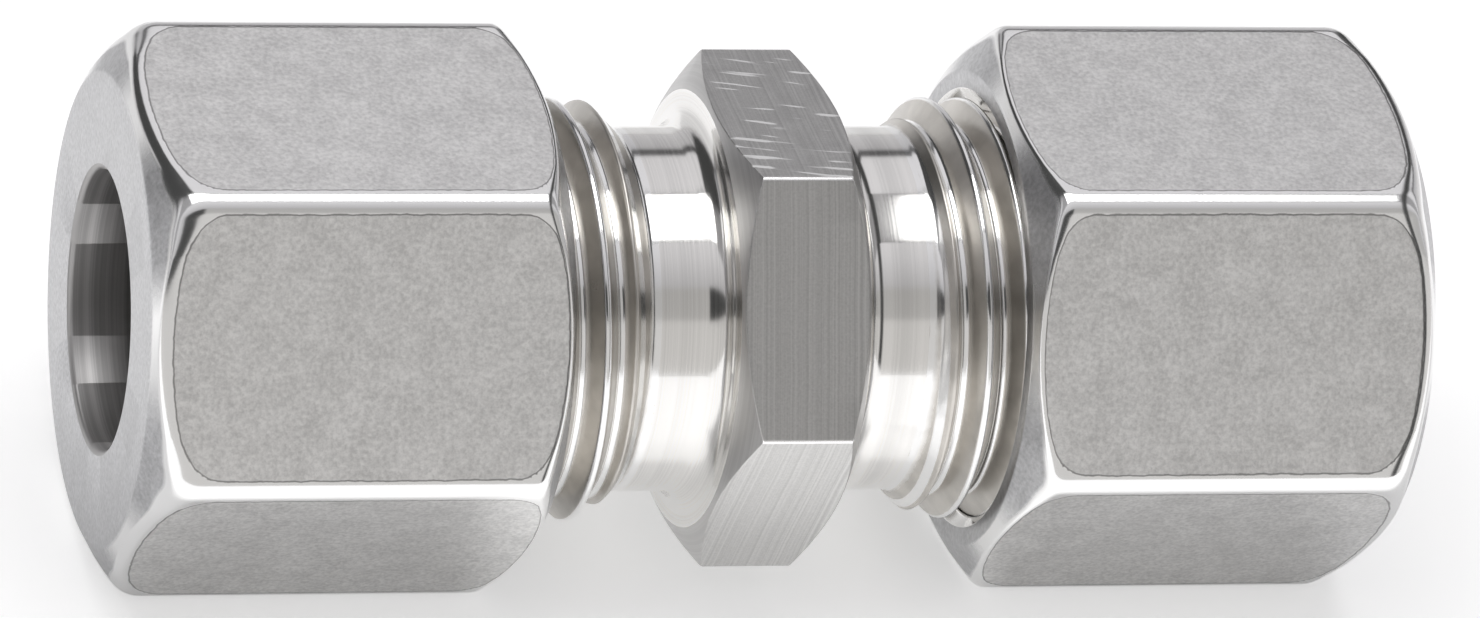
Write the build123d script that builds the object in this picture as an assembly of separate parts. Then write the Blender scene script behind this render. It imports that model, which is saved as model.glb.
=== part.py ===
from build123d import *
import math
import os

# A straight compression fitting that joins two 10 mm metal tubes. All sizes are in millimetres.
# X runs along the tubes, Z is up, and the origin is the middle of the body on the tube axis.
# Each half has a threaded stub, a cutting ring and a union nut. The nuts are turned on by hand
# and lie on a flat. The M16 thread, 1.5 in pitch and right-handed, is plain here: the stub has
# its outer diameter, and the nut's bore clears it.

# Tube and its way through the fitting
tube_d = 10.0
tube_wall = 1.0
seat_play = 0.1          # radial room round the tube in its seat
ring_play = 0.05         # radial room round the tube in the ring
entry_play = 0.25        # radial room round the tube in the nut's bore
seat_depth = 7.0         # from the mouth of the body to the tube stop

# Thread and spanner sizes, as this series has them for its tube
thread_over_tube = 6.0
body_af_over_thread = 1.0
nut_af_over_thread = 3.0
thread_pitch = 1.5

# Body
body_length = 27.0
body_hex_width = 5.0
body_face_inset = 0.2    # radial, from the flats to the round face that the chamfer leaves
body_chamfer = 27.0      # degrees off the face
body_turn = -8.0         # the body's hexagon is turned this much against the nuts'
undercut_depth = 1.1
neck_width = 3.1
neck_flare = 0.6         # 45 degree corner between the neck and the hexagon
runout_angle = 45.0      # the thread's end at the undercut
lead_in = 0.9            # 45 degree chamfer at the start of the thread
cone_rise = 1.05         # radial, from the tube seat to the mouth of the cone
cone_half_angle = 12.0

# Union nut
nut_length = 16.0
nut_face_inset = 0.6     # radial, from the flats to the round face that the chamfer leaves
nut_chamfer = 30.0
nut_edge_r = 1.0
nut_bore_length = 3.5    # from the outer face to the start of the 45 degree shoulder
nut_rim_break = 0.2
thread_play = 0.08       # radial room between the stub and the nut's bore

# Cutting ring
ring_length = 9.0
ring_nose_wall = 0.4
ring_taper = 10.0        # degrees, less than the body's cone, so that the nose bites first
ring_taper_length = 4.9
ring_collar_inset = 1.1  # radial, from the thread's outer diameter to the collar
ring_tail_wall = 0.45
ring_gap = 0.04          # play along X between the ring's shoulder and the nut's

# How many turns each nut is turned back from finger-tight, where the ring's nose meets the cone.
# The two differ by a third of a turn, so that both nuts lie on a flat.
turned_back_right = 1.0333
turned_back_left = turned_back_right + 1 / 3

# Every boring runs this far past the face that it opens
overrun = 1.0

# Sizes that follow from those above
tube_r = tube_d / 2
entry_r = tube_r + entry_play
seat_r = tube_r + seat_play
ring_r = tube_r + ring_play
flow_r = tube_r - tube_wall
thread_r = tube_r + thread_over_tube / 2
neck_r = thread_r - undercut_depth
body_af = 2 * thread_r + body_af_over_thread
nut_af = 2 * thread_r + nut_af_over_thread
stub_end = body_length / 2
mouth_r = seat_r + cone_rise
cone_slope = math.tan(math.radians(cone_half_angle))
cone_depth = cone_rise / cone_slope
nut_thread_r = thread_r + thread_play
shoulder_end = nut_bore_length + nut_thread_r - entry_r
ring_nose_r = ring_r + ring_nose_wall
ring_tail_r = ring_r + ring_tail_wall
nut_over_nose = nut_bore_length - entry_r + ring_tail_r + ring_length + ring_gap


def turned(outline):
    """A solid of revolution about X from (x, radius) points."""
    return revolve(make_face(Polyline(*outline, close=True)), Axis.X)


def hexagon_bar(across_flats, length, edge_r, face_inset, chamfer):
    """A hexagon bar along X, centred, with both ends chamfered round and its edges rounded by edge_r."""
    bar = extrude(Plane.YZ * RegularPolygon(across_flats / 2, 6, major_radius=False), length / 2, both=True)
    if edge_r > 0:
        bar = fillet(bar.edges().filter_by(Axis.X), edge_r)
    corner_r = across_flats / math.sqrt(3)
    face_r = across_flats / 2 - face_inset
    slope = (corner_r - face_r) * math.tan(math.radians(chamfer))
    half = length / 2
    envelope = turned([(-half, 0), (-half, face_r), (slope - half, corner_r),
                       (half - slope, corner_r), (half, face_r), (half, 0)])
    return bar & envelope


def stub():
    """The right stub outside: flared corner, undercut neck, thread run-out, thread and lead-in."""
    start = body_hex_width / 2
    neck_end = start + neck_width
    flare_r = neck_r + neck_flare
    runout = (thread_r - neck_r) / math.tan(math.radians(runout_angle))
    return turned([(0, 0), (0, flare_r), (start, flare_r), (start + neck_flare, neck_r), (neck_end, neck_r),
                   (neck_end + runout, thread_r), (stub_end - lead_in, thread_r),
                   (stub_end, thread_r - lead_in), (stub_end, 0)])


def socket():
    """What is bored out of the right half: 24 degree cone, tube seat, tube stop and flow bore."""
    stop = stub_end - seat_depth
    return turned([(-overrun, 0), (-overrun, flow_r), (stop, flow_r), (stop, seat_r),
                   (stub_end - cone_depth, seat_r), (stub_end, mouth_r),
                   (stub_end + overrun, mouth_r), (stub_end + overrun, 0)])


def fitting_body():
    hexagon = hexagon_bar(body_af, body_hex_width, 0, body_face_inset, body_chamfer)
    body = Rot(body_turn, 0, 0) * hexagon + stub() + Rot(0, 0, 180) * stub()
    return body - socket() - Rot(0, 0, 180) * socket()


def union_nut():
    """The nut with its outer face at X = 0 and its open, threaded end towards -X."""
    hexagon = hexagon_bar(nut_af, nut_length, nut_edge_r, nut_face_inset, nut_chamfer)
    rim_r = entry_r + nut_rim_break
    inside = turned([(overrun, 0), (overrun, rim_r), (0, rim_r), (-nut_rim_break, entry_r),
                     (-nut_bore_length, entry_r), (-shoulder_end, nut_thread_r),
                     (-nut_length - overrun, nut_thread_r), (-nut_length - overrun, 0)])
    return Pos(-nut_length / 2, 0, 0) * hexagon - inside


def cutting_ring():
    """The ring with its nose at X = 0 and its 45 degree shoulder towards +X."""
    taper_end_r = ring_nose_r + ring_taper_length * math.tan(math.radians(ring_taper))
    collar_r = thread_r - ring_collar_inset
    return turned([(0, ring_r), (0, ring_nose_r), (ring_taper_length, taper_end_r),
                   (ring_taper_length, collar_r), (ring_length - collar_r + ring_tail_r, collar_r),
                   (ring_length, ring_tail_r), (ring_length, ring_r)])


def ring_place(turned_back):
    """Where the ring's nose stands when its nut is turned back this many turns from finger-tight."""
    tight = stub_end - (mouth_r - ring_nose_r) / cone_slope
    return tight + turned_back * thread_pitch


parts = {"fitting_body": fitting_body()}
for side, turn, turned_back in (("left", 180, turned_back_left), ("right", 0, turned_back_right)):
    nose = ring_place(turned_back)
    parts[f"cutting_ring_{side}"] = Rot(0, 0, turn) * Pos(nose, 0, 0) * cutting_ring()
    parts[f"union_nut_{side}"] = Rot(0, 0, turn) * Pos(nose + nut_over_nose, 0, 0) * union_nut()

os.makedirs("parts", exist_ok=True)
for name, solid in parts.items():
    export_step(solid, f"parts/{name}.step")
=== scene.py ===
import math

import bmesh
import bpy
import numpy as np
from bpy.props import FloatProperty, FloatVectorProperty, IntProperty, PointerProperty
from mathutils import Matrix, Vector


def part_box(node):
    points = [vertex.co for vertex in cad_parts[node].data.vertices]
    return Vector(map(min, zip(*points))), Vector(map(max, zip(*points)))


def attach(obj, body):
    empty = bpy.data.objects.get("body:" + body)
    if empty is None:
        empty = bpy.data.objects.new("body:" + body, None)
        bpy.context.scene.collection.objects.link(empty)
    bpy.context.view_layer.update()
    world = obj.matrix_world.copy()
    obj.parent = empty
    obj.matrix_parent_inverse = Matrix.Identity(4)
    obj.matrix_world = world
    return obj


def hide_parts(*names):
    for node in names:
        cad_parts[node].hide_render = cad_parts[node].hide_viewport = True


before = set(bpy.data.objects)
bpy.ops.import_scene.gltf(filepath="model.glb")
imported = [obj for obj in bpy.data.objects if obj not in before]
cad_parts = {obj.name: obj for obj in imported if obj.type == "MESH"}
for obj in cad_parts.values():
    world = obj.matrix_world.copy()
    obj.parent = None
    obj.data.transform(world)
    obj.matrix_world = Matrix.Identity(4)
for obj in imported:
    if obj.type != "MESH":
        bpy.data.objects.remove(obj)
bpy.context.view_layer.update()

bl_info = {
    "name": "Straight Compression Fitting",
    "version": (1, 0, 0),
    "blender": (4, 5, 0),
    "location": "View3D > Sidebar > Fitting",
    "description": "Builds a 24 degree cone tube fitting with its nuts, rings and studio",
    "category": "Add Mesh",
}

MM = 0.001
SIDES = {"left": -1.0, "right": 1.0}


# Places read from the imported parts

def near_and_far(node):
    """Distances from the middle plane to the two ends of a node, along the tube axis."""
    low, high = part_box(node)
    ends = sorted((abs(low[0]), abs(high[0])))
    return ends[0], ends[1]


STUB_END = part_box("fitting_body")[1][0]
BENCH_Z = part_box("union_nut_left")[0][2]


# Sizes and colours that a user would change

def length(name, description, millimetres):
    return FloatProperty(name=name, description=description, default=millimetres * MM, unit="LENGTH",
                         precision=5)


def angle(name, description, degrees):
    return FloatProperty(name=name, description=description, default=math.radians(degrees), unit="ROTATION")


def colour(name, description, rgb):
    return FloatVectorProperty(name=name, description=description, default=rgb, subtype="COLOR", size=3,
                               min=0.0, max=1.0)


def share(name, description, value):
    return FloatProperty(name=name, description=description, default=value, min=0.0, max=1.0,
                         subtype="FACTOR")


class ThreadSizes(bpy.types.PropertyGroup):
    pitch: length("Pitch", "Distance between two turns of the thread", 1.5)
    crest_radius: length("Crest Radius", "Radius of the thread's crests", 8.0)
    root_radius: length("Root Radius", "Radius of the thread's roots", 7.08)
    crest_flat: length("Crest Flat", "Width of the crest before it is rounded", 0.19)
    rounding: length("Rounding", "How softly crest, root and ends blend", 0.07)
    phase_right: length("Right Groove", "Where a groove of the right stub crosses the near side", 6.51)
    phase_left: length("Left Groove", "Where a groove of the left stub crosses the near side", -6.8)
    near_side: angle("Near Side", "Elevation of the near side, where the grooves are placed", 38.66)
    play: length("Play", "Room between the two threads, square to the flank", 0.04)
    rows: IntProperty(name="Rows", description="Mesh rows in each pitch", default=24, min=8, max=48)


class BodySizes(bpy.types.PropertyGroup):
    across_flats: length("Across Flats", "Spanner size of the body", 17.0)
    hex_width: length("Hexagon Width", "Length of the hexagon along the tube", 5.0)
    face_inset: length("Face Inset", "From the flats to the round face at each end", 0.2)
    chamfer: angle("Chamfer", "Slope of the hexagon's chamfer off its face", 27.0)
    turned_by: angle("Turned By", "Turn of the body's hexagon against the nuts', upwards in front", 8.0)
    edge_radius: length("Edge Radius", "Radius of the hexagon's long edges", 0.16)
    face_radius: length("Face Radius", "Radius between face, chamfer and flats", 0.07)
    neck_radius: length("Neck Radius", "Radius of the undercut neck", 6.9)
    neck_fillet: length("Neck Fillet", "Radius between neck and hexagon", 0.95)
    neck_end: length("Neck End", "Where the thread's run-out starts", 5.6)
    runout: angle("Run-out", "Slope of the thread's end at the neck", 45.0)
    lead_in: length("Lead-in", "Chamfer at the start of the thread", 1.0)
    flow_radius: length("Flow Bore", "Radius of the bore right through", 4.0)
    seat_radius: length("Tube Seat", "Radius of the seat that takes the tube", 5.1)
    seat_depth: length("Seat Depth", "From the mouth to the tube stop", 7.0)
    mouth_radius: length("Cone Mouth", "Radius of the 24 degree cone at the mouth", 6.15)
    cone: angle("Cone", "Half angle of the cone", 12.0)
    mouth_break: length("Mouth Break", "Broken edge at the mouth", 0.15)


class NutSizes(bpy.types.PropertyGroup):
    across_flats: length("Across Flats", "Spanner size of the nuts", 19.0)
    face_inset: length("Face Inset", "From the flats to the round face at each end", 0.6)
    chamfer: angle("Chamfer", "Slope of the hexagon's chamfer off its face", 30.0)
    edge_radius: length("Edge Radius", "Radius of the nut's long edges", 1.0)
    face_radius: length("Face Radius", "Radius between face and chamfer", 0.35)
    flat_radius: length("Flat Radius", "Radius between chamfer and the middle of a flat", 0.6)
    corner_radius: length("Corner Radius", "Radius between chamfer and the long edges", 1.3)
    flat_corners: length("Flat Corners", "Radius of the corners of the satin flats", 0.85)
    open_inset: length("Open Inset", "From the flats to the round face at the threaded end", 0.45)
    open_radius: length("Open Radius", "Radius between face, chamfer and flats at the threaded end", 0.2)
    bore_radius: length("Bore", "Radius of the bore for the tube", 5.25)
    bore_length: length("Bore Length", "From the outer face to the 45 degree shoulder", 3.5)
    rim_break: length("Rim Break", "Broken edge of the bore", 0.2)
    cavity_radius: length("Cavity", "Radius between the shoulder and the thread", 7.19)
    thread_depth: length("Thread Depth", "Length of the nut's thread from its open end", 9.5)
    countersink: length("Countersink", "Broken edge at the open end", 0.3)


class RingSizes(bpy.types.PropertyGroup):
    bore_radius: length("Bore", "Radius of the ring's bore", 5.05)
    nose_wall: length("Nose Wall", "Wall at the cutting edge", 0.4)
    taper: angle("Taper", "Slope of the ring's front", 10.0)
    taper_length: length("Taper Length", "Length of the tapered front", 3.6)
    waist_length: length("Waist Length", "Plain length behind the taper", 1.0)
    flank_length: length("Flank Length", "Slope up to the collar", 0.3)
    collar_radius: length("Collar", "Radius of the collar", 6.9)
    tail_wall: length("Tail Wall", "Wall at the tail", 0.45)
    groove_start: length("Groove Start", "From the nose to the relief behind the cutting edge", 1.2)
    groove_width: length("Groove Width", "Width of the relief", 1.0)
    groove_depth: length("Groove Depth", "Depth of the relief", 0.15)
    edge_radius: length("Edge Radius", "Radius of the ring's edges", 0.06)


class Finishes(bpy.types.PropertyGroup):
    turned: colour("Turned Steel", "Colour of the bright turned surfaces", (0.86, 0.85, 0.83))
    turned_roughness: share("Turned Roughness", "Roughness of the turned surfaces", 0.13)
    flanks: colour("Thread Flanks", "Colour of the thread between crest and root", (0.64, 0.615, 0.575))
    flank_roughness: share("Flank Roughness", "Roughness of the thread between crest and root", 0.3)
    milled: colour("Milled Steel", "Colour of the body's flats", (0.66, 0.655, 0.645))
    milled_roughness: share("Milled Roughness", "Roughness of the body's flats", 0.33)
    chamfer: colour("Body Chamfers", "Colour of the body's turned chamfers", (0.61, 0.605, 0.6))
    satin: colour("Satin Steel", "Colour of the nuts' flats", (0.88, 0.875, 0.865))
    face: colour("Nut Faces", "Colour of the nuts' ends and chamfers", (0.57, 0.57, 0.58))
    satin_roughness: share("Satin Roughness", "Roughness of the nuts' flats", 0.34)
    # Colour of the painted highlight on edges, crests and roots, whose lower roughness is their real polish;
    # also the colour of the light scratches
    polish_and_highlight_colour: colour("Polished Edges", "Colour of the nuts' rounded edges", (0.88, 0.88, 0.875))
    polished_roughness: share("Edge Roughness", "Roughness of the nuts' rounded edges", 0.14)
    # The bores' darker colour is painted shade inside them
    bore: colour("Bore Steel", "Colour of the nuts' bores", (0.6, 0.59, 0.585))


class StageSettings(bpy.types.PropertyGroup):
    floor: colour("Floor", "Colour of the bench", (0.85, 0.85, 0.85))
    floor_lift: share("Floor Lift", "How much whiter the floor looks to the camera", 0.42)
    metal_lift: share("Metal Lift", "How much whiter the metal sees the floor, where it does most", 0.62)
    softbox_watts: FloatProperty(name="Softbox", description="Power of the softbox overhead", default=1.3)
    tent: share("Tent", "Brightness of the tent round the part", 1.0)
    lens: FloatProperty(name="Lens", description="Focal length in millimetres", default=259.44)
    distance: length("Camera Distance", "From the camera to the middle of the part", 403.79)
    turned_left: angle("Turned Left", "How far the camera stands to the left", 16.073)
    raised: angle("Raised", "How far the camera looks down over the tube axis", 38.655)
    roll: angle("Roll", "Roll of the camera", -0.151)
    aside: length("Aside", "Camera's place to its own right", -0.196)
    above: length("Above", "Camera's place to its own top", -0.039)


# Mesh tools

# Width of the mesh strip beside an edge, and width and count of the fine and the wide strips after it
SUPPORT = 0.12 * MM
FINE_BAND = 1.6 * MM
FINE_STRIPS = 12
WIDE_STRIPS = 9
# Mesh steps round a fillet, as a rule, on the nuts and on the rings
FILLET_STEPS = 5
NUT_FILLET_STEPS = 7
RING_FILLET_STEPS = 3
# How much polish and painted highlight a flat takes at the border to its edge
HIGHLIGHT_BORDER = 0.62


def unit(vectors):
    """Vectors scaled to a length of one."""
    return vectors / np.maximum(np.linalg.norm(vectors, axis=-1, keepdims=True), 1e-12)


def arc(before, corner, after, radius, steps):
    """Points of the fillet at a corner of an outline, for every column at once."""
    u = unit(before - corner)
    v = unit(after - corner)
    half = np.arccos(np.clip((u * v).sum(-1, keepdims=True), -1, 1)) / 2
    reach = radius / np.tan(half)
    centre = corner + unit(u + v) * radius / np.sin(half)
    start = corner + u * reach - centre
    end = corner + v * reach - centre
    sweep = math.pi - 2 * half
    for step in range(steps + 1):
        part = step / steps
        yield centre + (start * np.sin((1 - part) * sweep) + end * np.sin(part * sweep)) / np.sin(sweep)


def outline(corners, columns, steps=FILLET_STEPS):
    """Rows of (place, radius) for every column. A corner is (place, radius), with a fillet radius third."""
    points = []
    for corner in corners:
        x = np.broadcast_to(np.asarray(corner[0], float), (columns,))
        r = np.broadcast_to(np.asarray(corner[1], float), (columns,))
        points.append(np.stack([x, r], -1))
    rows = []
    for index, corner in enumerate(corners):
        if len(corner) > 2:
            rows += list(arc(points[index - 1], points[index], points[index + 1], corner[2], steps))
        else:
            rows.append(points[index])
    return rows


def hexagon_columns(across_flats, edge_radius, turned_by, edge_steps=6):
    """Mesh columns round a rounded hexagon: angle, radius, how far on an edge and distance from the edge."""
    flat = across_flats / 2
    centre = (flat - edge_radius) / math.cos(math.radians(30))
    run = (flat - edge_radius) * math.tan(math.radians(30))
    near_edge = np.linspace(SUPPORT, FINE_BAND, FINE_STRIPS)
    middle = np.linspace(FINE_BAND - run, run - FINE_BAND, WIDE_STRIPS + 1)[1:-1]
    columns = []
    for sector in range(6):
        turn = math.radians(30 + 60 * sector)
        for offset in (-run, *(near_edge - run), *middle, *(run - near_edge[::-1]), run):
            edge = 0.5 if abs(offset) > run - SUPPORT / 2 else 0.0
            place = turn + math.atan2(offset, flat)
            columns.append((place, math.hypot(offset, flat), edge, run - abs(offset)))
        for step in range(1, edge_steps):
            part = math.radians(-30 + 60 * step / edge_steps)
            x = centre + edge_radius * math.cos(part)
            y = edge_radius * math.sin(part)
            columns.append((turn + math.radians(30) + math.atan2(y, x), math.hypot(x, y), 1.0, 0.0))
    angles, radii, edges, inward = np.array(columns).T
    return angles + turned_by, radii, edges, inward


def highlight_border(edges, inward, along, corner):
    """How much polish and painted highlight a flat takes, this far from its long edge and from its end, with
    rounded corners.
    """
    into = corner - np.hypot(np.clip(corner - inward, 0, corner), max(corner - along, 0.0))
    return np.maximum(edges, np.clip(HIGHLIGHT_BORDER * (1 - into / SUPPORT), 0, 1))


class Turning:
    """A closed turned or hexagonal piece, built up from grids of rows round the X axis."""

    def __init__(self, angles, side=1.0):
        self.angles = angles
        self.side = side
        self.verts = []
        self.faces = []
        self.materials = []
        self.bright = []

    def ring(self, row, bright):
        """The points of one row, and how much polish and painted highlight each takes."""
        x = row[:, 0] * self.side
        points = np.stack([x, -row[:, 1] * np.cos(self.angles), row[:, 1] * np.sin(self.angles)], -1)
        self.verts += points.tolist()
        self.bright += np.broadcast_to(bright, (len(self.angles),)).tolist()

    def add(self, rows, material=0, bright=None, shift=0):
        """A grid of rows. The last column joins the first one shift rows further on."""
        first = len(self.verts)
        count = len(self.angles)
        for index, row in enumerate(rows):
            self.ring(row, 0.0 if bright is None else bright[index])
        for index in range(len(rows) - 1):
            for column in range(count):
                after = (column + 1) % count
                step = shift if after == 0 else 0
                low = min(max(index + step, 0), len(rows) - 1)
                high = min(max(index + 1 + step, 0), len(rows) - 1)
                corners = (index * count + column, (index + 1) * count + column, high * count + after,
                           low * count + after)
                self.faces.append([first + corner for corner in corners])
                self.materials.append(material)

    def finished(self, name, materials):
        """The object, welded and smooth, with its materials in the order of their numbers."""
        mesh = bpy.data.meshes.new(name)
        mesh.from_pydata(self.verts, [], self.faces)
        mesh.polygons.foreach_set("material_index", self.materials)
        bright = mesh.attributes.new("polish_and_highlight", "FLOAT", "POINT")
        bright.data.foreach_set("value", self.bright)
        work = bmesh.new()
        work.from_mesh(mesh)
        bmesh.ops.remove_doubles(work, verts=work.verts, dist=0.0002 * MM)
        bmesh.ops.dissolve_degenerate(work, edges=work.edges, dist=0.0002 * MM)
        bmesh.ops.recalc_face_normals(work, faces=work.faces)
        work.to_mesh(mesh)
        work.free()
        mesh.polygons.foreach_set("use_smooth", [True] * len(mesh.polygons))
        piece = bpy.data.objects.new(name, mesh)
        for material in materials:
            mesh.materials.append(material)
        bpy.context.collection.objects.link(piece)
        normals = piece.modifiers.new("Weighted Normals", "WEIGHTED_NORMAL")
        normals.weight = 50
        return piece


def soft_min(a, b, width):
    """The lesser of two heights, with a rounded corner where they cross."""
    near = np.clip(0.5 + 0.5 * (b - a) / width, 0, 1)
    return b * (1 - near) + a * near - width * near * (1 - near)


def soft_max(a, b, width):
    """The greater of two heights, with a rounded corner where they cross."""
    return -soft_min(-a, -b, width)


def thread_height(x, phase, thread, crest, root, crest_flat, rounding):
    """Radius of a 60 degree thread at x, with a groove centred on phase."""
    offset = np.abs((x - phase) / thread.pitch - np.round((x - phase) / thread.pitch)) * thread.pitch
    flank = crest - (thread.pitch / 2 - crest_flat / 2 - offset) * math.sqrt(3)
    return soft_max(soft_min(flank, np.full_like(x, crest), rounding), np.full_like(x, root), rounding)


def helix_rows(start, end, angles, thread, side):
    """Mesh rows that follow a right-hand helix from start to end."""
    lean = -side * thread.pitch * (angles - angles[0]) / (2 * math.pi)
    step = thread.pitch / thread.rows
    first = start - max(lean.max(), 0.0) - step
    count = int(math.ceil((end - min(lean.min(), 0.0) + step - first) / step)) + 1
    return [np.clip(first + step * row + lean, start, end) for row in range(count)]


# Shader tools

def node(tree, kind, inputs=(), **settings):
    """Adds a node, sets its properties, and sets or links its inputs by name or number."""
    made = tree.nodes.new(kind)
    for key, value in settings.items():
        setattr(made, key, value)
    for key, value in dict(inputs).items():
        if isinstance(value, bpy.types.NodeSocket):
            tree.links.new(value, made.inputs[key])
        else:
            made.inputs[key].default_value = value
    return made


def maths(tree, operation, first, second=0.0, third=0.0):
    return node(tree, "ShaderNodeMath", {0: first, 1: second, 2: third}, operation=operation).outputs[0]


def spread(tree, value, low, high, to_low, to_high):
    """Maps low to high onto to_low to to_high, held at the ends."""
    made = node(tree, "ShaderNodeMapRange", {"Value": value, "From Min": low, "From Max": high,
                                             "To Min": to_low, "To Max": to_high})
    return made.outputs["Result"]


def tinted(tree, amount, first, second):
    made = node(tree, "ShaderNodeMix", data_type="RGBA")
    for socket, value in ((made.inputs["Factor"], amount), (made.inputs[6], first), (made.inputs[7], second)):
        if isinstance(value, bpy.types.NodeSocket):
            tree.links.new(value, socket)
        elif socket.type == "RGBA":
            socket.default_value = (*value, 1.0)
        else:
            socket.default_value = value
    return made.outputs[2]


def new_group(name, inputs, outputs):
    """A shader node group with named inputs (name, default) and outputs, and its two end nodes."""
    tree = bpy.data.node_groups.new(name, "ShaderNodeTree")
    for label, default in inputs:
        socket = tree.interface.new_socket(label, in_out="INPUT", socket_type="NodeSocketFloat")
        socket.default_value = default
    for label in outputs:
        tree.interface.new_socket(label, in_out="OUTPUT", socket_type="NodeSocketFloat")
    return tree, tree.nodes.new("NodeGroupInput").outputs, tree.nodes.new("NodeGroupOutput").inputs


def tool_marks_group():
    """Lines left by a lathe or a cutter: across the tube axis, and rings on the faces."""
    if "Tool Marks" in bpy.data.node_groups:
        return bpy.data.node_groups["Tool Marks"]
    tree, given, out = new_group("Tool Marks", [("Lines per Millimetre", 8.0), ("Waviness", 0.1),
                                                ("Rings", 1.0)], ["Lines", "Broad"])
    place = node(tree, "ShaderNodeTexCoord").outputs["Object"]
    axes = node(tree, "ShaderNodeSeparateXYZ", {0: place}).outputs
    flat_place = node(tree, "ShaderNodeCombineXYZ", {"Y": axes["Y"], "Z": axes["Z"]}).outputs[0]
    radius = node(tree, "ShaderNodeVectorMath", {0: flat_place}, operation="LENGTH").outputs["Value"]
    along = maths(tree, "MULTIPLY_ADD", radius, given["Rings"], axes["X"])
    wander = node(tree, "ShaderNodeTexNoise", {"Vector": place, "Scale": 350.0, "Detail": 1.0}).outputs[0]
    wander = maths(tree, "MULTIPLY", maths(tree, "SUBTRACT", wander, 0.5), given["Waviness"])
    millimetres = maths(tree, "MULTIPLY_ADD", along, 1000.0, wander)
    position = maths(tree, "MULTIPLY", millimetres, given["Lines per Millimetre"])
    fine = node(tree, "ShaderNodeTexNoise", {"W": position, "Scale": 1.0, "Detail": 2.0, "Roughness": 0.7},
                noise_dimensions="1D")
    broad = node(tree, "ShaderNodeTexNoise", {"W": millimetres, "Scale": 1.3, "Detail": 1.0},
                 noise_dimensions="1D")
    tree.links.new(fine.outputs[0], out["Lines"])
    tree.links.new(broad.outputs[0], out["Broad"])
    return tree


def grain_group():
    """The fine mottle of a blasted or tumbled surface, at two scales."""
    if "Satin Grain" in bpy.data.node_groups:
        return bpy.data.node_groups["Satin Grain"]
    tree, given, out = new_group("Satin Grain", [("Grain Size mm", 0.15), ("Cloud Size mm", 1.2)],
                                 ["Grain", "Cloud", "Specks"])
    place = node(tree, "ShaderNodeTexCoord").outputs["Object"]
    grain_scale = maths(tree, "DIVIDE", 1000.0, given["Grain Size mm"])
    cloud_scale = maths(tree, "DIVIDE", 1000.0, given["Cloud Size mm"])
    grain = node(tree, "ShaderNodeTexNoise", {"Vector": place, "Scale": grain_scale, "Detail": 3.0,
                                              "Roughness": 0.65})
    cloud = node(tree, "ShaderNodeTexNoise", {"Vector": place, "Scale": cloud_scale, "Detail": 3.0})
    pit_scale = maths(tree, "MULTIPLY", cloud_scale, 2.4)
    pits = node(tree, "ShaderNodeTexVoronoi", {"Vector": place, "Scale": pit_scale})
    tree.links.new(grain.outputs[0], out["Grain"])
    tree.links.new(cloud.outputs[0], out["Cloud"])
    tree.links.new(spread(tree, pits.outputs["Distance"], 0.05, 0.16, 1.0, 0.0), out["Specks"])
    return tree


def edge_group():
    """Where a rounded edge takes polish and a painted highlight: with a broken border and a painted dark line
    beside it, or fading out.
    """
    if "Bright Edge" in bpy.data.node_groups:
        return bpy.data.node_groups["Bright Edge"]
    tree, given, out = new_group("Bright Edge", [("Border", 0.5), ("Unevenness", 0.5)],
                                 ["Mask", "Line", "Amount"])
    edge = node(tree, "ShaderNodeAttribute", attribute_name="polish_and_highlight").outputs["Fac"]
    tree.links.new(edge, out["Amount"])
    place = node(tree, "ShaderNodeTexCoord").outputs["Object"]
    noise = node(tree, "ShaderNodeTexNoise", {"Vector": place, "Scale": 2200.0, "Detail": 3.0}).outputs[0]
    noise = maths(tree, "MULTIPLY", maths(tree, "SUBTRACT", noise, 0.5), given["Unevenness"])
    edge = maths(tree, "ADD", edge, noise)
    low = maths(tree, "SUBTRACT", given["Border"], 0.2)
    high = maths(tree, "ADD", given["Border"], 0.2)
    mask = spread(tree, edge, low, high, 0.0, 1.0)
    tree.links.new(mask, out["Mask"])
    # A painted dark line along the border of the painted highlight
    line = maths(tree, "MULTIPLY", mask, maths(tree, "SUBTRACT", 1.0, mask))
    tree.links.new(maths(tree, "MULTIPLY", line, 4.0), out["Line"])
    return tree


def scratch_group():
    """Short light scratches along one upper flat, where the piece scraped against others."""
    if "Scratches" in bpy.data.node_groups:
        return bpy.data.node_groups["Scratches"]
    tree, given, out = new_group("Scratches", [("Upper Flat", 8.45), ("Lean", 12.0)], ["Scratches"])
    place = node(tree, "ShaderNodeTexCoord").outputs["Object"]
    turned = node(tree, "ShaderNodeVectorRotate", {"Vector": place, "Angle": math.radians(8)},
                  rotation_type="X_AXIS").outputs[0]
    height = node(tree, "ShaderNodeSeparateXYZ", {0: turned}).outputs["Z"]
    height = maths(tree, "MULTIPLY", height, 1000.0)
    on_flat = maths(tree, "GREATER_THAN", height, given["Upper Flat"])
    lean = maths(tree, "MULTIPLY", given["Lean"], math.radians(1))
    leaning = node(tree, "ShaderNodeVectorRotate", {"Vector": place, "Angle": lean},
                   rotation_type="Z_AXIS").outputs[0]
    streak_scale = (420.0, 3600.0, 420.0)
    stretched = node(tree, "ShaderNodeMapping", {"Vector": leaning, "Scale": streak_scale}).outputs[0]
    streaks = node(tree, "ShaderNodeTexNoise", {"Vector": stretched, "Scale": 1.0, "Detail": 1.0}).outputs[0]
    tree.links.new(maths(tree, "MULTIPLY", on_flat, spread(tree, streaks, 0.63, 0.68, 0.0, 1.0)),
                   out["Scratches"])
    return tree


def use(tree, group, **inputs):
    """The outputs of a new group node, with its inputs set by name."""
    made = tree.nodes.new("ShaderNodeGroup")
    made.node_tree = group
    for key, value in inputs.items():
        made.inputs[key.replace("_", " ")].default_value = value
    return made.outputs


def new_metal(name):
    """An empty metal material, its tree and its shader."""
    material = bpy.data.materials.new(name)
    material.use_nodes = True
    tree = material.node_tree
    shader = tree.nodes["Principled BSDF"]
    shader.inputs["Metallic"].default_value = 1.0
    return material, tree, shader


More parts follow.
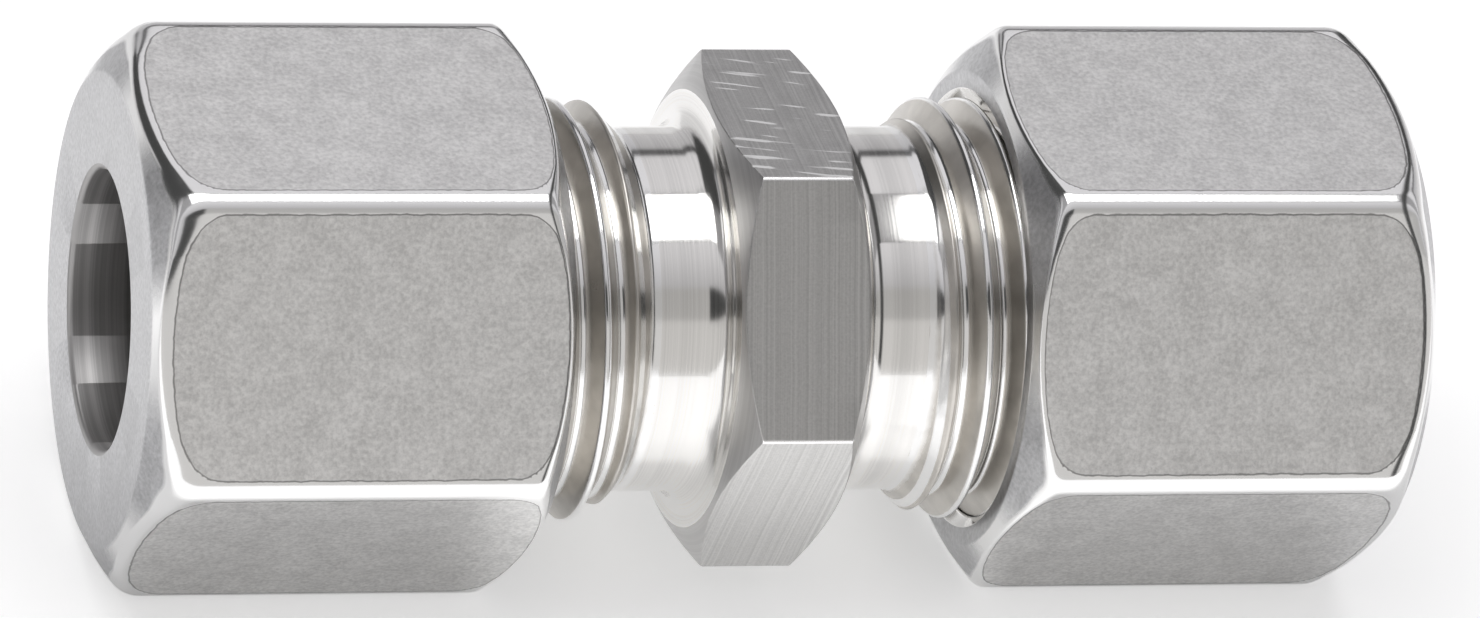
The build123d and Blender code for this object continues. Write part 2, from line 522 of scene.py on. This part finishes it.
def surface(tree, shader, colour, roughness, height, microns):
    """Links colour and roughness, and bumps the surface by a height of this many microns."""
    tree.links.new(colour, shader.inputs["Base Color"])
    tree.links.new(roughness, shader.inputs["Roughness"])
    bump = node(tree, "ShaderNodeBump", {"Height": height, "Distance": microns * 1e-6, "Strength": 1.0})
    tree.links.new(bump.outputs[0], shader.inputs["Normal"])


def darker(rgb, share_kept):
    """A colour with this share of its brightness."""
    return tuple(channel * share_kept for channel in rgb)


def turned_steel(name, rgb, base_roughness, lines=9.0, microns=0.6, contrast=0.14):
    """Bright lathe-turned steel with fine rings."""
    if name in bpy.data.materials:
        return bpy.data.materials[name]
    material, tree, shader = new_metal(name)
    marks = use(tree, tool_marks_group(), Lines_per_Millimetre=lines, Waviness=0.02)
    grain = use(tree, grain_group(), Grain_Size_mm=0.12, Cloud_Size_mm=2.0)
    shade = maths(tree, "MULTIPLY_ADD", marks["Broad"], 0.5, maths(tree, "MULTIPLY", marks["Lines"], 0.5))
    colour = tinted(tree, spread(tree, shade, 0.35, 0.65, 0.0, 1.0), darker(rgb, 1.0 - contrast), rgb)
    roughness = maths(tree, "MULTIPLY_ADD", grain["Cloud"], 0.06, base_roughness - 0.06)
    roughness = maths(tree, "MULTIPLY_ADD", marks["Lines"], 0.06, roughness)
    surface(tree, shader, colour, roughness, marks["Lines"], microns)
    return material


def threaded_steel(name, finishes):
    """A rolled thread: duller, warmer flanks between crests and roots that are smoother and painted bright as
    a highlight.
    """
    if name in bpy.data.materials:
        return bpy.data.materials[name]
    material, tree, shader = new_metal(name)
    grain = use(tree, grain_group(), Grain_Size_mm=0.12, Cloud_Size_mm=1.5)
    # Crests and roots: smoother, and painted brighter as a highlight
    bright = use(tree, edge_group(), Border=0.5, Unevenness=0.25)["Mask"]
    flank = tuple(finishes.flanks)
    flank_colour = tinted(tree, spread(tree, grain["Cloud"], 0.4, 0.6, 0.0, 1.0), darker(flank, 0.85), flank)
    colour = tinted(tree, bright, flank_colour, tuple(finishes.polish_and_highlight_colour))
    roughness = maths(tree, "MULTIPLY_ADD", grain["Cloud"], 0.1, finishes.flank_roughness - 0.05)
    polish = finishes.turned_roughness - finishes.flank_roughness
    roughness = maths(tree, "MULTIPLY_ADD", bright, polish, roughness)
    surface(tree, shader, colour, roughness, grain["Grain"], 0.8)
    return material


def milled_steel(finishes):
    """The body's flats: cut across the tube, a little duller, with scratches on the upper flat."""
    if "milled_flats" in bpy.data.materials:
        return bpy.data.materials["milled_flats"]
    material, tree, shader = new_metal("milled_flats")
    rgb = tuple(finishes.milled)
    marks = use(tree, tool_marks_group(), Lines_per_Millimetre=7.0, Waviness=0.1, Rings=0.0)
    grain = use(tree, grain_group(), Grain_Size_mm=0.09, Cloud_Size_mm=0.8)
    scratch = use(tree, scratch_group(), Upper_Flat=8.45, Lean=12.0)["Scratches"]
    shade = maths(tree, "MULTIPLY_ADD", marks["Lines"], 0.6, maths(tree, "MULTIPLY", grain["Grain"], 0.4))
    colour = tinted(tree, spread(tree, shade, 0.38, 0.62, 0.0, 1.0), darker(rgb, 0.78), rgb)
    # The long edges: smoother, and painted bright as a highlight; the scratches are light marks of their own
    edge = use(tree, edge_group(), Border=HIGHLIGHT_BORDER, Unevenness=0.3)["Mask"]
    bright = maths(tree, "MAXIMUM", scratch, edge)
    colour = tinted(tree, bright, colour, tuple(finishes.polish_and_highlight_colour))
    roughness = maths(tree, "MULTIPLY_ADD", grain["Cloud"], 0.2, finishes.milled_roughness - 0.1)
    roughness = maths(tree, "MULTIPLY_ADD", edge, -0.15, roughness)
    roughness = maths(tree, "MULTIPLY_ADD", scratch, 0.25, roughness)
    height = maths(tree, "MULTIPLY_ADD", grain["Grain"], 0.8, marks["Lines"])
    surface(tree, shader, colour, roughness, height, 2.5)
    return material


def satin_steel(name, rgb, finishes, microns, broken_border):
    """The nuts' outside: a mottled satin skin whose edges take polish and a painted highlight, which breaks
    off along a painted dark line or fades out.
    """
    if name in bpy.data.materials:
        return bpy.data.materials[name]
    material, tree, shader = new_metal(name)
    grain = use(tree, grain_group(), Grain_Size_mm=0.18, Cloud_Size_mm=1.1)
    highlight_border = use(tree, edge_group(), Border=HIGHLIGHT_BORDER, Unevenness=0.5)
    edge = highlight_border["Mask"] if broken_border else highlight_border["Amount"]
    mottle = maths(tree, "MULTIPLY_ADD", grain["Grain"], 0.7, maths(tree, "MULTIPLY", grain["Cloud"], 0.3))
    flat_colour = tinted(tree, spread(tree, mottle, 0.36, 0.64, 0.0, 1.0), darker(rgb, 0.7), rgb)
    flat_colour = tinted(tree, maths(tree, "MULTIPLY", grain["Specks"], 0.2), flat_colour, darker(rgb, 0.6))
    colour = tinted(tree, edge, flat_colour, tuple(finishes.polish_and_highlight_colour))
    # Painted dark line beside the broken border of the painted highlight
    if broken_border:
        colour = tinted(tree, maths(tree, "MULTIPLY", highlight_border["Line"], 0.85), colour, darker(rgb, 0.25))
    flat_rough = maths(tree, "MULTIPLY_ADD", grain["Cloud"], 0.16, finishes.satin_roughness - 0.08)
    bright_rough = maths(tree, "MULTIPLY_ADD", grain["Cloud"], 0.08, finishes.polished_roughness - 0.04)
    mix = node(tree, "ShaderNodeMix", {"Factor": edge, 2: flat_rough, 3: bright_rough})
    fade = maths(tree, "MULTIPLY_ADD", edge, -0.85, 1.0)
    height = maths(tree, "MULTIPLY", mottle, fade)
    surface(tree, shader, colour, mix.outputs[0], height, microns)
    return material


# The pieces

# The blend from neck to run-out, how far the thread's mesh reaches into the neck, and the length over
# which the polish of the neck gives way
RUNOUT_BLEND = 0.15 * MM
NECK_OVERLAP = 0.4 * MM
POLISH_FADE = 0.7 * MM
# Crests and roots take polish and a painted highlight from this far off the middle of the flank, as a share
# of the depth
CREST_ROOT_HIGHLIGHT_FROM = 0.38
CREST_ROOT_HIGHLIGHT_FADE = 0.1
# Degrees off the middle of a nut's flat: where its end turns into a corner, and where the painted highlight
# on its chamfer fades
CORNER_BLEND = (17, 29)
CHAMFER_HIGHLIGHT_FADE = (6, 18)


def even_columns(count=120):
    """Angles of evenly spaced mesh columns."""
    return np.arange(count) * 2 * math.pi / count


def groove_phase(thread, side, angles):
    """Where a groove of this side's thread lies at each angle, as a distance from the middle."""
    start = thread.phase_right if side > 0 else -thread.phase_left
    return start - side * thread.pitch * (angles - thread.near_side) / (2 * math.pi)


def stub_rows(start, side, angles, thread, body):
    """Rows of the threaded stub from the neck to the mouth, and where they take polish and a painted
    highlight.
    """
    rows, bright = [], []
    for x in helix_rows(start, STUB_END, angles, thread, side):
        ramp = body.neck_radius + (x - body.neck_end) * math.tan(body.runout)
        lead = thread.crest_radius + STUB_END - body.lead_in - x
        limit = soft_max(np.full_like(x, body.neck_radius), ramp, RUNOUT_BLEND)
        limit = soft_min(limit, lead, thread.rounding)
        turns = thread_height(x, groove_phase(thread, side, angles), thread, thread.crest_radius,
                              thread.root_radius, thread.crest_flat, thread.rounding)
        rows.append(np.stack([x, soft_min(limit, turns, thread.rounding)], -1))
        depth = (thread.crest_radius - turns) / (thread.crest_radius - thread.root_radius)
        on_thread = np.clip((x - start) / POLISH_FADE, 0, 1)
        # Crests and roots take polish and a painted highlight
        crest_root_highlight = np.clip((np.abs(depth - 0.5) - CREST_ROOT_HIGHLIGHT_FROM) / CREST_ROOT_HIGHLIGHT_FADE, 0, 1)
        bright.append(np.maximum(crest_root_highlight, 1 - on_thread))
    return rows, bright


def build_body(thread, body, finishes):
    """The body: hexagon, necks, threaded stubs, cones, tube seats and the bore right through."""
    turned, milled, chamfered, threaded = range(4)
    angles, radii, edges = hexagon_columns(body.across_flats, body.edge_radius, body.turned_by)[:3]
    columns = len(angles)
    face_radius = body.across_flats / 2 - body.face_inset
    half = body.hex_width / 2
    shoulder = half - (radii - face_radius) * math.tan(body.chamfer)
    neck_cut = body.neck_end - NECK_OVERLAP
    slope = math.tan(body.cone)
    cone_depth = (body.mouth_radius - body.seat_radius) / slope
    stop = STUB_END - body.seat_depth
    piece = Turning(angles)
    for side in SIDES.values():
        piece.side = side
        end = [(0, radii), (shoulder, radii, body.face_radius), (half, face_radius, body.face_radius),
               (half, body.neck_radius, body.neck_fillet), (neck_cut, body.neck_radius)]
        rows = outline(end, columns)
        fillet_rows = FILLET_STEPS + 1
        flat_rows = 1 + fillet_rows
        chamfer_rows = flat_rows + fillet_rows
        # The long edges take polish and a painted highlight
        piece.add(rows[:flat_rows], milled, [edges] * flat_rows)
        piece.add(rows[flat_rows - 1:chamfer_rows], chamfered)
        piece.add(rows[chamfer_rows - 1:], turned)
        turns, bright = stub_rows(neck_cut, side, angles, thread, body)
        piece.add(turns, threaded, bright, shift=int(-side * thread.rows))
        end_radius = thread.crest_radius - body.lead_in
        inside = [(STUB_END, end_radius), (STUB_END, body.mouth_radius + body.mouth_break),
                  (STUB_END - body.mouth_break, body.mouth_radius - body.mouth_break * slope),
                  (STUB_END - cone_depth, body.seat_radius), (stop, body.seat_radius),
                  (stop, body.flow_radius), (0, body.flow_radius)]
        piece.add(outline(inside, columns), turned)
    made = piece.finished("body_steel", [
        turned_steel("turned_body", tuple(finishes.turned), finishes.turned_roughness),
        milled_steel(finishes),
        turned_steel("turned_chamfer", tuple(finishes.chamfer), 0.34, lines=5.0, microns=1.5),
        threaded_steel("body_thread", finishes)])
    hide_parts("fitting_body")
    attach(made, "fitting")
    return made


def build_nut(name, side, thread, nut, finishes):
    """A union nut: hexagon with edges that take polish and a painted highlight, bore, shoulder, cavity and
    inner thread.
    """
    flats, bored, threaded, faces = range(4)
    angles, radii, edges, inward = hexagon_columns(nut.across_flats, nut.edge_radius, 0.0, edge_steps=10)
    columns = len(angles)
    inner, outer = near_and_far(f"union_nut_{name}")
    off_flat = np.abs(np.mod(np.degrees(angles), 60) - 30)
    to_corner = np.clip((off_flat - CORNER_BLEND[0]) / (CORNER_BLEND[1] - CORNER_BLEND[0]), 0, 1)
    to_corner = to_corner**2 * (3 - 2 * to_corner)
    # A painted highlight on the chamfer, brightest at the middle of each flat
    chamfer_highlight = np.clip((CHAMFER_HIGHLIGHT_FADE[1] - off_flat) / (CHAMFER_HIGHLIGHT_FADE[1] - CHAMFER_HIGHLIGHT_FADE[0]), 0, 1)
    rim = nut.bore_radius + nut.rim_break
    mouth = thread.crest_radius + 2 * thread.play + nut.countersink
    outside = [(outer, rim)]
    for place, inset, rim_radius, flat_radius, corner_radius in (
            (outer, nut.face_inset, nut.face_radius, nut.flat_radius, nut.corner_radius),
            (inner, nut.open_inset, nut.open_radius, nut.open_radius, nut.corner_radius / 2)):
        face_radius = nut.across_flats / 2 - inset
        depth = (radii - face_radius) * math.tan(nut.chamfer) * np.sign(place - (inner + outer) / 2)
        radius = flat_radius + (corner_radius - flat_radius) * to_corner
        end = [(place, face_radius, rim_radius), (place - depth, radii, radius[:, None])]
        outside += end if place == outer else end[::-1]
    outside.append((inner, mouth))
    rows = outline(outside, columns, steps=NUT_FILLET_STEPS)
    half = len(rows) // 2
    along = np.linspace(0, FINE_BAND, FINE_STRIPS)
    piece = Turning(angles, side)
    borders = []
    for part, way in ((rows[:half], -1), (rows[half:][::-1], 1)):
        rim_fillet, flat_fillet = part[1:NUT_FILLET_STEPS + 2], part[NUT_FILLET_STEPS + 2:]
        flat = [flat_fillet[-1] + np.array([way * distance, 0]) for distance in along]
        # Polish and a painted highlight along the border of each flat, with rounded corners
        bright = [highlight_border(edges, inward, distance, nut.flat_corners) for distance in along]
        cone_run = flat_fillet[0] - rim_fillet[-1]
        cone = [rim_fillet[-1] + cone_run * step for step in (0.0, 0.15, 0.85, 1.0)]
        piece.add(part[:2], faces, [0.0, 0.0])
        # Rim fillet and chamfer carry the painted highlight
        piece.add(rim_fillet, faces, [chamfer_highlight * step / NUT_FILLET_STEPS for step in range(NUT_FILLET_STEPS + 1)])
        piece.add(cone, faces, [chamfer_highlight, chamfer_highlight, chamfer_highlight, 1.0])
        piece.add(flat_fillet, flats, [*[1.0] * NUT_FILLET_STEPS, bright[0]])
        piece.add(flat, flats, bright)
        borders.append(flat[-1])
    piece.add(borders, flats, [edges, edges])
    thread_end = inner + nut.thread_depth
    cavity = nut.cavity_radius - thread.rounding
    turns = []
    for x in helix_rows(inner, thread_end, angles, thread, side):
        height = thread_height(x, groove_phase(thread, side, angles), thread,
                               thread.crest_radius + 2 * thread.play, nut.cavity_radius,
                               thread.crest_flat, thread.rounding)
        height = soft_max(height, mouth - (x - inner), thread.rounding)
        turns.append(np.stack([x, soft_min(height, cavity + thread_end - x, thread.rounding)], -1))
    piece.add(turns, threaded, shift=int(-side * thread.rows))
    shoulder = outer - nut.bore_length
    bore = [(thread_end, cavity), (shoulder - (cavity - nut.bore_radius), cavity),
            (shoulder, nut.bore_radius), (outer - nut.rim_break, nut.bore_radius), (outer, rim)]
    piece.add(outline(bore, columns), bored)
    made = piece.finished(f"nut_steel_{name}", [
        satin_steel("satin_flats", tuple(finishes.satin), finishes, 7.0, True),
        turned_steel("turned_bore", tuple(finishes.bore), 0.5, lines=5.0, microns=3.0, contrast=0.4),
        turned_steel("turned_thread", tuple(finishes.turned), finishes.turned_roughness),
        satin_steel("satin_faces", tuple(finishes.face), finishes, 5.0, False)])
    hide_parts(f"union_nut_{name}")
    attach(made, f"nut_{name}")
    return made


def build_ring(name, side, ring, finishes):
    """A cutting ring: nose, taper, waist, collar, tail and the relief behind its cutting edge."""
    nose, tail = near_and_far(f"cutting_ring_{name}")
    nose_radius = ring.bore_radius + ring.nose_wall
    waist_radius = nose_radius + ring.taper_length * math.tan(ring.taper)
    taper_end = nose + ring.taper_length
    waist_end = taper_end + ring.waist_length
    collar_start = waist_end + ring.flank_length
    tail_radius = ring.bore_radius + ring.tail_wall
    shoulder = tail - (ring.collar_radius - tail_radius)
    groove = nose + ring.groove_start
    groove_end = groove + ring.groove_width
    groove_radius = ring.bore_radius + ring.groove_depth
    corners = [(nose, ring.bore_radius), (nose, nose_radius, ring.edge_radius), (taper_end, waist_radius),
               (waist_end, waist_radius), (collar_start, ring.collar_radius, ring.edge_radius),
               (shoulder, ring.collar_radius, ring.edge_radius), (tail, tail_radius, ring.edge_radius),
               (tail, ring.bore_radius), (groove_end, ring.bore_radius),
               (groove_end - ring.groove_depth, groove_radius), (groove, groove_radius),
               (groove, ring.bore_radius), (nose, ring.bore_radius)]
    angles = even_columns()
    piece = Turning(angles, side)
    piece.add(outline(corners, len(angles), steps=RING_FILLET_STEPS))
    # The rings take the bores' darker colour, painted shade inside the nuts
    made = piece.finished(f"ring_steel_{name}", [
        turned_steel("turned_ring", tuple(finishes.bore), 0.18)])
    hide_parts(f"cutting_ring_{name}")
    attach(made, f"ring_{name}")
    return made


# The stage

# The floor's glow as the metal sees it, in metres: painted light in front and, less so, behind and under the
# body; less glow under the nuts and far behind them, as painted shade
FLOOR_FRONT = (-0.017, -0.012)
FLOOR_BEHIND = (-0.004, 0.006)
FLOOR_FAR_BEHIND = (0.025, 0.045)
FLOOR_ASIDE = (0.008, 0.011)
FLOOR_UNDER_BODY = (-0.0095, -0.008)
BEHIND_SHARE = 0.65
UNDER_BODY_SHARE = 0.6
UNDER_NUTS_SHARE = 0.2


def floor_material(stage):
    """A pale floor that looks whiter to the camera, and glows by zones for the metal: painted light in its
    reflections, with painted shade where it glows less.
    """
    material = bpy.data.materials.new("pale_floor")
    material.use_nodes = True
    tree = material.node_tree
    shader = tree.nodes["Principled BSDF"]
    shader.inputs["Base Color"].default_value = (*stage.floor, 1.0)
    shader.inputs["Roughness"].default_value = 1.0
    shader.inputs["Specular IOR Level"].default_value = 0.0
    shader.inputs["Emission Color"].default_value = (1.0, 1.0, 1.0, 1.0)
    rays = node(tree, "ShaderNodeLightPath").outputs
    in_metal = maths(tree, "MAXIMUM", rays["Is Glossy Ray"], rays["Is Transmission Ray"])
    place = node(tree, "ShaderNodeTexCoord").outputs["Object"]
    axes = node(tree, "ShaderNodeSeparateXYZ", {0: place}).outputs
    aside = maths(tree, "ABSOLUTE", axes["X"])
    in_front = spread(tree, axes["Y"], *FLOOR_FRONT, 1.0, 0.0)
    behind = maths(tree, "MULTIPLY", spread(tree, axes["Y"], *FLOOR_BEHIND, 0.0, BEHIND_SHARE),
                   spread(tree, axes["Y"], *FLOOR_FAR_BEHIND, 1.0, 0.0))
    between = maths(tree, "MULTIPLY", spread(tree, aside, *FLOOR_ASIDE, 1.0, 0.0),
                    spread(tree, axes["Y"], *FLOOR_UNDER_BODY, 1.0, UNDER_BODY_SHARE))
    lit = maths(tree, "MAXIMUM", maths(tree, "MAXIMUM", in_front, behind), between)
    lift = spread(tree, lit, 0.0, 1.0, UNDER_NUTS_SHARE * stage.metal_lift, stage.metal_lift)
    in_metal = maths(tree, "MULTIPLY", in_metal, lift)
    seen = maths(tree, "MULTIPLY_ADD", rays["Is Camera Ray"], stage.floor_lift, in_metal)
    tree.links.new(seen, shader.inputs["Emission Strength"])
    return material


# Brightness and warmth of the tent by elevation, in degrees from the front, over the top, to the back
TENT = (
    (0, 0.68, 1), (30, 0.66, 1), (32, 0.48, 1), (50, 0.46, 1), (52, 0.52, 0), (78, 0.75, 0), (80, 0.35, 0),
    (115, 0.35, 0), (118, 0.35, 0), (120, 0.76, 0), (150, 0.74, 0), (152, 0.08, 0), (157, 0.08, 0),
    (160, 0.5, 0), (180, 0.6, 0),
)
WARM = (1.0, 0.98, 0.965)
COOL = (1.0, 0.985, 1.01)
# Dark parts of the tent, by how far a direction points right (+) or left (-), up and to the back:
# the left at the back, a strip in the light wall beside it, and a strip on the right
LEFT_END = (-0.32, -0.24)
LEFT_ABOVE = (0.03, 0.13)
LEFT_TO_BACK = (0.22, 0.36)
WALL_STRIP = (-0.9, -0.83)
WALL_STRIP_EDGE = 0.02
RIGHT_STRIP = (0.5, 0.62)
RIGHT_STRIP_EDGE = 0.08
# A dark gap in the left half of the tent, by elevation, and where it ends
GAP = ((30, 0.0), (32, 1.0), (50, 1.0), (52, 0.0))
GAP_END = (-0.02, 0.12)
DARK = (0.06, 0.06, 0.06)


def strip(tree, value, low, high, edge):
    """One between low and high and nought beyond, with edges this wide."""
    return maths(tree, "MULTIPLY", spread(tree, value, low - edge, low, 0.0, 1.0),
                 spread(tree, value, high, high + edge, 1.0, 0.0))


def elevation_ramp(tree, elevation, stops):
    """Colours by elevation, from pairs of degrees and colour."""
    ramp = node(tree, "ShaderNodeValToRGB", {0: maths(tree, "DIVIDE", elevation, math.pi)})
    made = ramp.color_ramp.elements
    while len(made) < len(stops):
        made.new(0.5)
    for stop, (degrees, rgb) in zip(made, stops):
        stop.position = degrees / 180
    for stop, (degrees, rgb) in zip(made, stops):
        stop.color = (*rgb, 1.0)
    return ramp.outputs[0]


def build_world(stage):
    """The tent: bands of light by elevation, with the dark parts that draw the edges."""
    world = bpy.data.worlds.new("light_tent")
    bpy.context.scene.world = world
    world.use_nodes = True
    tree = world.node_tree
    background = tree.nodes["Background"]
    way = node(tree, "ShaderNodeTexCoord").outputs["Generated"]
    axes = node(tree, "ShaderNodeSeparateXYZ", {0: way}).outputs
    front = maths(tree, "MULTIPLY", axes["Y"], -1.0)
    elevation = maths(tree, "ARCTAN2", axes["Z"], front)
    light = elevation_ramp(tree, elevation, [(degrees, darker(WARM if warm else COOL, level * stage.tent))
                                             for degrees, level, warm in TENT])
    left = maths(tree, "MULTIPLY", spread(tree, axes["X"], *LEFT_END, 1.0, 0.0),
                 spread(tree, axes["Z"], *LEFT_ABOVE, 0.0, 1.0))
    left = maths(tree, "MAXIMUM", left, strip(tree, axes["X"], *WALL_STRIP, WALL_STRIP_EDGE))
    left = maths(tree, "MULTIPLY", left, spread(tree, axes["Y"], *LEFT_TO_BACK, 0.0, 1.0))
    right = strip(tree, axes["X"], *RIGHT_STRIP, RIGHT_STRIP_EDGE)
    gap = elevation_ramp(tree, elevation, [(degrees, (level, level, level)) for degrees, level in GAP])
    gap = maths(tree, "MULTIPLY", gap, spread(tree, axes["X"], *GAP_END, 1.0, 0.0))
    amount = maths(tree, "MAXIMUM", maths(tree, "MAXIMUM", left, right), gap)
    tree.links.new(tinted(tree, amount, light, DARK), background.inputs["Color"])
    background.inputs["Strength"].default_value = 1.0


# The softbox: height and reach to the left and right in metres, and its elevations seen from the part
SOFTBOX_HEIGHT = 0.5
SOFTBOX_SIDES = (-0.4, 0.2)
SOFTBOX_ELEVATIONS = (82, 114)


def build_softbox(stage):
    """A softbox overhead, from a little in front of the part to well behind it."""
    lamp = bpy.data.lights.new("softbox", "AREA")
    lamp.shape = "RECTANGLE"
    near, far = (-SOFTBOX_HEIGHT / math.tan(math.radians(degrees)) for degrees in SOFTBOX_ELEVATIONS)
    left, right = SOFTBOX_SIDES
    lamp.size = right - left
    lamp.size_y = far - near
    lamp.energy = stage.softbox_watts
    holder = bpy.data.objects.new("softbox", lamp)
    holder.location = ((left + right) / 2, (near + far) / 2, SOFTBOX_HEIGHT)
    bpy.context.collection.objects.link(holder)


def build_floor(stage):
    """The bench, at the height of the flats on which the nuts lie."""
    mesh = bpy.data.meshes.new("floor")
    side = 0.35
    deep = 1.5
    mesh.from_pydata([(-side, -deep, BENCH_Z), (side, -deep, BENCH_Z), (side, deep, BENCH_Z),
                      (-side, deep, BENCH_Z)], [], [(0, 1, 2, 3)])
    mesh.materials.append(floor_material(stage))
    floor = bpy.data.objects.new("floor", mesh)
    bpy.context.collection.objects.link(floor)


def build_camera(stage):
    """The camera, looking down over the tube axis from the left."""
    data = bpy.data.cameras.new("camera")
    data.lens = stage.lens
    data.sensor_width = 36.0
    camera = bpy.data.objects.new("camera", data)
    bpy.context.collection.objects.link(camera)
    back = np.array([-math.sin(stage.turned_left), -math.cos(stage.turned_left) * math.cos(stage.raised),
                     math.cos(stage.turned_left) * math.sin(stage.raised)])
    right = np.array([1.0, 0.0, 0.0]) - back[0] * back
    right /= np.linalg.norm(right)
    up = np.cross(back, right)
    level_right = math.cos(stage.roll) * right + math.sin(stage.roll) * up
    level_up = math.cos(stage.roll) * up - math.sin(stage.roll) * right
    place = back * stage.distance + level_right * stage.aside + level_up * stage.above
    pose = Matrix.Identity(4)
    for row in range(3):
        pose[row][0] = level_right[row]
        pose[row][1] = level_up[row]
        pose[row][2] = back[row]
        pose[row][3] = place[row]
    camera.matrix_world = pose
    data.clip_start = 0.01
    data.clip_end = 10.0
    bpy.context.scene.camera = camera


# Operators and the panel

class FITTING_OT_body(bpy.types.Operator):
    """Build the body with its hexagon, necks, threads and cones"""
    bl_idname = "fitting.body"
    bl_label = "Fitting Body"

    def execute(self, context):
        scene = context.scene
        build_body(scene.fitting_thread, scene.fitting_body, scene.fitting_finishes)
        return {"FINISHED"}


class FITTING_OT_nuts(bpy.types.Operator):
    """Build the two union nuts with their inner threads"""
    bl_idname = "fitting.nuts"
    bl_label = "Union Nuts"

    def execute(self, context):
        scene = context.scene
        for name, side in SIDES.items():
            build_nut(name, side, scene.fitting_thread, scene.fitting_nut, scene.fitting_finishes)
        return {"FINISHED"}


class FITTING_OT_rings(bpy.types.Operator):
    """Build the two cutting rings inside the nuts"""
    bl_idname = "fitting.rings"
    bl_label = "Cutting Rings"

    def execute(self, context):
        scene = context.scene
        for name, side in SIDES.items():
            build_ring(name, side, scene.fitting_ring, scene.fitting_finishes)
        return {"FINISHED"}


class FITTING_OT_stage(bpy.types.Operator):
    """Build the bench, the light tent, the softbox and the camera"""
    bl_idname = "fitting.stage"
    bl_label = "Stage"

    def execute(self, context):
        stage = context.scene.fitting_stage
        build_world(stage)
        build_softbox(stage)
        build_floor(stage)
        build_camera(stage)
        context.scene.view_settings.view_transform = "Standard"
        return {"FINISHED"}


class FITTING_PT_panel(bpy.types.Panel):
    """Sizes, finishes and stage of the fitting"""
    bl_idname = "FITTING_PT_panel"
    bl_label = "Compression Fitting"
    bl_space_type = "VIEW_3D"
    bl_region_type = "UI"
    bl_category = "Fitting"

    def draw(self, context):
        layout = self.layout
        for group_name in GROUPS:
            group = getattr(context.scene, group_name)
            box = layout.box()
            for name in group.bl_rna.properties.keys():
                if name not in ("rna_type", "name"):
                    box.prop(group, name)
        for operator in OPERATORS:
            layout.operator(operator.bl_idname)


GROUPS = {"fitting_thread": ThreadSizes, "fitting_body": BodySizes, "fitting_nut": NutSizes,
          "fitting_ring": RingSizes, "fitting_finishes": Finishes, "fitting_stage": StageSettings}
OPERATORS = (FITTING_OT_body, FITTING_OT_nuts, FITTING_OT_rings, FITTING_OT_stage)


def register():
    for item in (*GROUPS.values(), *OPERATORS, FITTING_PT_panel):
        bpy.utils.register_class(item)
    for name, group in GROUPS.items():
        setattr(bpy.types.Scene, name, PointerProperty(type=group))


def unregister():
    for name in GROUPS:
        delattr(bpy.types.Scene, name)
    for item in reversed((*GROUPS.values(), *OPERATORS, FITTING_PT_panel)):
        bpy.utils.unregister_class(item)


def main():
    register()
    bpy.ops.fitting.body()
    bpy.ops.fitting.nuts()
    bpy.ops.fitting.rings()
    bpy.ops.fitting.stage()


if __name__ == "__main__":
    main()
